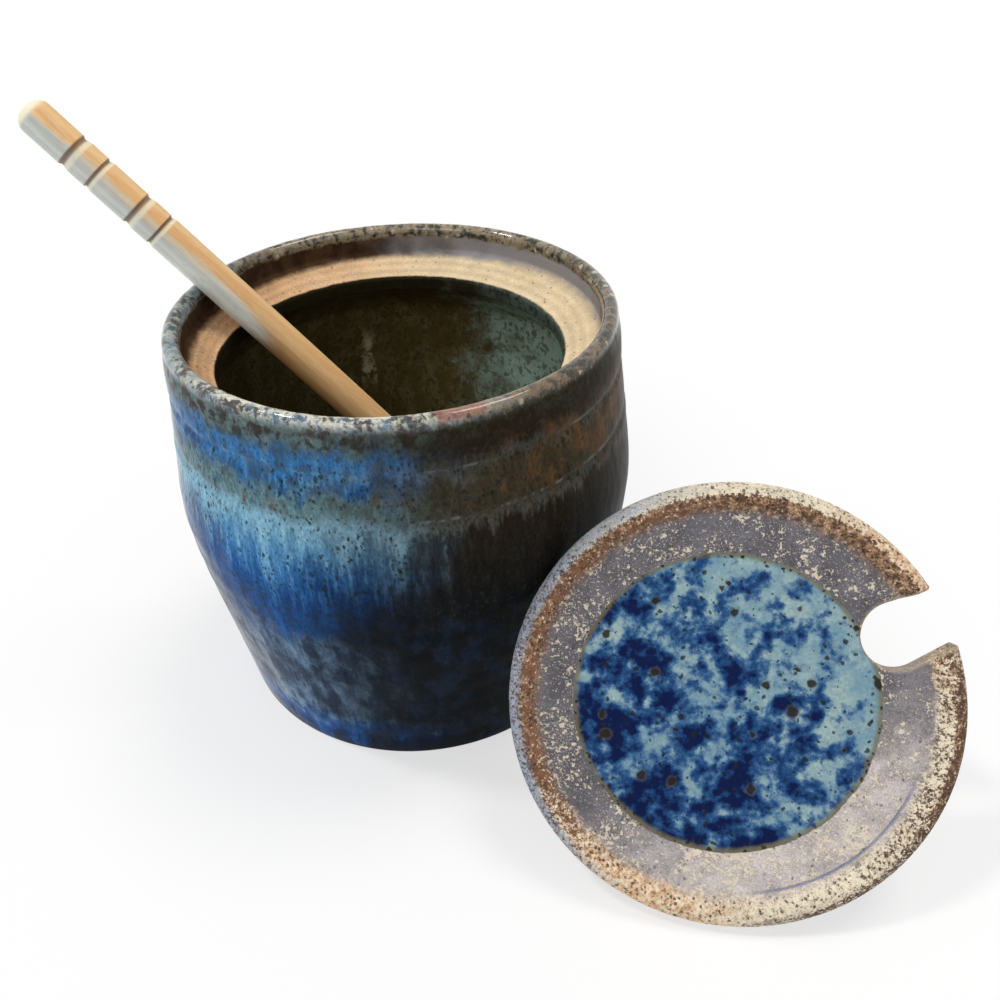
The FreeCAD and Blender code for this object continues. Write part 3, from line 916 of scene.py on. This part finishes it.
# Painted light: a pale blue on the outer edge of the roll at the left, where it faces the light and the sky.
left_edge_sky_light = rise(from_middle + waver * 0.5, 46.8, 48.6) * rise(toward(172) + waver * 0.05, 0.2, 0.7)
roll = layered(tinted(roll, crumbs + grit * 0.8 + 0.15), (
    (inner_slope * rise(grit + crumbs.lean(0.4), 0.62, 0.42), rust),
    (left_edge_sky_light * rise(grit + crumbs.lean(0.5), 0.4, 0.56), roll_sky_light)))
line = rise((from_middle - 42.3).maths("ABSOLUTE"), 0.45, 0.1) * rise(toward(-47), 0.78, 0.95)
clay = layered(clay, (
    (on_roll, roll), (specks(local, 1.3, 0.6, 0.45) * on_roll * 0.7, clay_grog), (line * 0.7, groove_blue),
    (rise(notch, 1.0, 0.25) * rise(grit, 0.3, 0.6) * 0.75, edge_cream)))
from_pool = distance(u - pool_shift[0] * mm, v - pool_shift[1] * mm)
from_border = pool_radius * mm - from_pool + clouds(local, 5.0, 3).lean(0.9)
glaze, iron = pool_glaze(local, from_border, u, v)
is_glaze = rise(from_border, -0.15, 0.15) * rise(face_height, 2.6, 2.9) * rise(notch, 0.2, 0.5)
join(shader, "Base Color", mixed(is_glaze, clay, glaze))
join(shader, "Roughness", is_glaze * (clouds(local, 2.5) * 0.12 + 0.1) + (1 - is_glaze) * 0.78)
grog_height = clay_height * 1.6 + (grit - 0.5) * on_roll * 0.5 - line * 0.25
glaze_height = clouds(local, 4.0, 2) * 0.25 - iron * 0.06
join(shader, "Normal", relief(glaze_height * is_glaze + grog_height * (1 - is_glaze)))
shader.inputs["Specular IOR Level"].default_value = 0.08
lid.data.materials.append(lid_material)
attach(lid, "root")
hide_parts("lid")

# ---------------------------------------------------------------------------------------------------
# The dipper. A stick of pale beech turned on a lathe: two pairs of grooves near its rounded tip, and a
# ribbed head at its foot that holds the honey. It stands in the pot and leans over the lip.
# ---------------------------------------------------------------------------------------------------

dipper_length = 0.1788
handle_radius = 0.0046
tip_radius = 0.00425
taper_length = 0.06
tip_dome = 0.003
grooves = ((0.0126, 0.0019), (0.0191, 0.0013), (0.0301, 0.0019), (0.0366, 0.0013))
groove_depth = 0.00045
head_radius = 0.0125
head_end_radius = 0.0085
head_length = 0.036
rib_count = 7
rib_share = 0.52
core_radius = 0.0048
dipper_tip = Vector((-0.07789, 0.02285, 0.15017))
dipper_run = Vector((0.62984, -0.11185, -0.76863)).normalized()
dipper_segments = 96
ring_spacing = 0.001
ring_limit = 139
head_rounding = 0.00055
collar_width = 0.0012
collar_drop = 0.0001
out_of_round = 0.006

# Painted light and shade on the wood: a sunlit tan on the stick's upper side, a pale grey-green on its
# underside for light bounced up from the floor, and browns of painted shade where the underside runs into the
# pot.
wood_sunlit_tan = (0.97, 0.65, 0.31)
wood_deep = (0.88, 0.48, 0.19)
wood_underlit_pale = (0.66, 0.69, 0.64)
wood_underlit_grey = (0.54, 0.56, 0.5)
wood_shade = (0.78, 0.43, 0.17)
wood_deep_shade = (0.46, 0.235, 0.085)
# Cream of the end grain at the tip, also laid on the grooves' flanks as a painted highlight.
end_grain_and_groove_highlight = (0.92, 0.86, 0.64)
# Brown of the painted shade in the grooves.
groove_shade_brown = (0.16, 0.08, 0.035)


def stick_radius(along):
    """Radius of the handle, with its grooves."""
    radius = tip_radius + (handle_radius - tip_radius) * min(1, along / taper_length)
    for middle, width in grooves:
        cut = along - middle
        steep, gentle = width * 0.32, width * 0.95
        share = 1 + cut / steep if cut < 0 else 1 - cut / gentle
        radius -= groove_depth * max(0, share)
    return radius


def head_radius_at(along):
    """Radius of the egg-shaped head round its ribs, at a distance down from the top of the head."""
    part = 2 * along / head_length - 1
    end = handle_radius if part < 0 else head_end_radius
    return head_radius - (head_radius - end) * part * part


def dipper_rows():
    """The dipper's section from its tip to the foot of its head: radius, and distance from the tip."""
    shoulder = stick_radius(tip_dome)
    section = [(0, 0)]
    for step in range(1, 11):
        angle = math.pi / 2 * step / 10
        section.append((shoulder * math.sin(angle), tip_dome * (1 - math.cos(angle)) ** 1.1))
    head_start = dipper_length - head_length
    places = {round(tip_dome + ring_spacing * step, 5) for step in range(1, ring_limit)}
    for middle, width in grooves:
        places |= {round(middle + width * step / 16, 5) for step in range(-7, 19)}
    stick_end = head_start - ring_spacing
    section += [(stick_radius(along), along) for along in sorted(places) if along < stick_end]
    pitch = head_length / (rib_count - 1 + rib_share)
    corners = [(handle_radius, head_start)]
    for index in range(rib_count):
        start = index * pitch
        end = start + pitch * rib_share
        if index:
            corners.append((core_radius, head_start + start))
            corners.append((head_radius_at(start), head_start + start))
        else:
            corners.append((handle_radius + collar_width, head_start + collar_drop))
        corners.append((head_radius_at(end), head_start + end))
        corners.append((core_radius, head_start + end))
    corners[-1] = (0, dipper_length)
    before = section[-1]
    for corner, after in zip(corners[1:-1], corners[2:]):
        rounding = min(head_rounding, 0.38 * math.dist(corner, after), 0.38 * math.dist(before, corner))
        section += rounded_corner(before, corner, after, rounding, 4)
        before = corner
    section += straight_points(section[-1], (0, dipper_length), 4)
    return section


def dipper_place(angle, row):
    """A point of the dipper, a hair out of round."""
    radius, along = row
    side = Vector((0, 0, 1)).cross(dipper_run).normalized()
    over = dipper_run.cross(side)
    sway = 1 + out_of_round * noise.noise(Vector((math.cos(angle), math.sin(angle), along * 40)))
    spoke = side * math.cos(angle) + over * math.sin(angle)
    return dipper_tip + dipper_run * along + spoke * radius * sway


dipper_section = dipper_rows()
dipper = turned_piece("dipper_wood", dipper_section, dipper_segments, dipper_place)
dipper_local = [Vector((0, 0, 0))]
for radius, along in dipper_section[1:-1]:
    for segment in range(dipper_segments):
        angle = math.tau * segment / dipper_segments
        dipper_local.append(Vector((radius * math.cos(angle), radius * math.sin(angle), along)) * mm)
dipper_local.append(Vector((0, 0, dipper_length)) * mm)
keep_values(dipper, "local", "FLOAT_VECTOR", dipper_local)

wood_material, shader, place = new_material("dipper_beech")
local = stored(place, "local", "Vector")
across, over, along = split(local)
rings = distance(across - 9, over + 6) + clouds(drawn_out(local, 0.02), 6.0, 2) * 5
bands = (rings * (math.tau / 1.9)).maths("SINE") * 0.28 + 0.5
fibre = clouds(drawn_out(local, 0.045), 0.26, 4, 0.7)
flecks = specks(drawn_out(local, 0.16), 0.55, 0.35, 0.16)
# Painted light: the upper side of the stick is drawn sunlit, and the sunlit side is drawn wider further down
# the stick.
roundness = over / distance(across, over) + clouds(drawn_out(local, 0.06), 1.6, 5, 0.6).lean(1.3)
sunny_side = rise(roundness + rise(along, 60, 86) * 0.5, 0.22, 0.76)
sunlit_wood = mixed(rise(bands + fibre.lean(2.6), 0.15, 0.95), wood_sunlit_tan, wood_deep)
underside_light_and_shade = mixed(rise(bands + fibre.lean(2.2), 0.15, 1.0), wood_underlit_pale, wood_underlit_grey)
# The pale underside is painted brighter down the stick to make up for the light it lacks there, and from
# about 66 mm on, in the pot's mouth, it turns to painted shade.
underside_light_and_shade = tinted(underside_light_and_shade, rise(along, 34, 58) * 0.48 + 1.0)
underside_light_and_shade = mixed(rise(along + fibre.lean(14), 66, 76), underside_light_and_shade, mixed(fibre, wood_deep_shade, wood_shade))
colour = layered(underside_light_and_shade, ((sunny_side, sunlit_wood), (flecks * 0.6, wood_deep)))
# Painted shade in the deep, steep side of each groove towards the tip, and a painted highlight on its gentle
# flank towards the head.
groove_shade = along * 0
for middle, width in grooves:
    past = (along - middle * mm) / (width * mm)
    groove_shade = groove_shade.maths("MAXIMUM", between(past, -0.5, -0.2, 0.1, 0.5))
    colour = mixed(between(past, 0, 0.4, 0.8, 1.25) * 0.6, colour, end_grain_and_groove_highlight)
colour = layered(colour, ((groove_shade * 0.8, groove_shade_brown), (rise(along, 2.6, 1.4), end_grain_and_groove_highlight)))
join(shader, "Base Color", colour)
join(shader, "Roughness", fibre * 0.25 + 0.42)
join(shader, "Normal", relief(fibre * 0.1 - flecks * 0.05))
dipper.data.materials.append(wood_material)
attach(dipper, "root")
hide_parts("dipper")

# ---------------------------------------------------------------------------------------------------
# The stage: a plain white floor that runs out of sight, soft studio lights and the camera.
# ---------------------------------------------------------------------------------------------------

floor_reach = 4.0
floor_white = (0.94, 0.94, 0.94)
floor_glow_share = 0.55
sky_colour = (0.93, 0.96, 1.0)
sky_strength = 0.46
sun_lamps = (
    ("key", 0.85, 7, 160, 60, (1.0, 0.98, 0.95)),
    ("front", 0.62, 30, -125, 48, (0.97, 0.98, 1.0)),
    ("back", 0.9, 20, 30, 70, (1.0, 0.96, 0.9)),
)
camera_place = (0.0, -0.19207, 0.19429)
camera_ahead = (0.1023, 0.7791, -0.6185)
camera_aside = (0.9895, -0.1436, -0.0172)
sensor_width = 36
focal_length = 29.85

floor = add_piece("floor", [
    (-floor_reach, -floor_reach, 0), (floor_reach, -floor_reach, 0),
    (floor_reach, floor_reach, 0), (-floor_reach, floor_reach, 0)], [(0, 1, 2, 3)])
floor_material, shader, place = new_material("floor_white")
speckle = clouds(place, 40.0, 2) * 0.01
join(shader, "Roughness", speckle + 0.85)
shader.inputs["Base Color"].default_value = (*floor_white, 1)


def seen(tree):
    """1 where the ray comes from the camera, a reflection or a glass, and 0 where it carries light."""
    path = tree.nodes.new("ShaderNodeLightPath")
    names = ("Is Camera Ray", "Is Glossy Ray", "Is Transmission Ray")
    direct, glossy, through = (Wire(tree, path.outputs[name]) for name in names)
    return direct.maths("MAXIMUM", glossy).maths("MAXIMUM", through)


def shown_as(tree, lit, white, share, output):
    """Puts a share of plain white over a lit shader for the rays that see it."""
    blend = tree.nodes.new("ShaderNodeMixShader")
    tree.links.new((seen(tree) * share).socket, blend.inputs[0])
    tree.links.new(lit, blend.inputs[1])
    tree.links.new(white, blend.inputs[2])
    tree.links.new(blend.outputs[0], output)


tree = floor_material.node_tree
glow = tree.nodes.new("ShaderNodeEmission")
floor_output = tree.nodes["Material Output"].inputs["Surface"]
shown_as(tree, shader.outputs[0], glow.outputs[0], floor_glow_share, floor_output)
floor.data.materials.append(floor_material)

for name, strength, spread, azimuth, elevation, colour in sun_lamps:
    lamp = bpy.data.lights.new(name, "SUN")
    lamp.energy = strength
    lamp.angle = math.radians(spread)
    lamp.color = colour
    light = bpy.data.objects.new(name, lamp)
    light.location = direction(azimuth, elevation)
    light.rotation_euler = light.location.to_track_quat("Z", "Y").to_euler()
    bpy.context.scene.collection.objects.link(light)

world = bpy.data.worlds.new("studio")
bpy.context.scene.world = world
world.use_nodes = True
tree = world.node_tree
background = tree.nodes["Background"]
background.inputs["Color"].default_value = (*sky_colour, 1)
background.inputs["Strength"].default_value = sky_strength
white = tree.nodes.new("ShaderNodeBackground")
white.inputs["Color"].default_value = (1, 1, 1, 1)
shown_as(tree, background.outputs[0], white.outputs[0], 1.0, tree.nodes["World Output"].inputs["Surface"])

camera_data = bpy.data.cameras.new("camera")
camera_data.sensor_width = sensor_width
camera_data.lens = focal_length
camera_data.clip_start = 0.01
camera = bpy.data.objects.new("camera", camera_data)
ahead = Vector(camera_ahead).normalized()
aside = Vector(camera_aside)
aside = (aside - ahead * aside.dot(ahead)).normalized()
turned = Matrix((aside, aside.cross(ahead), -ahead)).transposed()
camera.matrix_world = Matrix.Translation(camera_place) @ turned.to_4x4()
bpy.context.scene.collection.objects.link(camera)
bpy.context.scene.camera = camera
bpy.context.scene.view_settings.view_transform = "Standard"
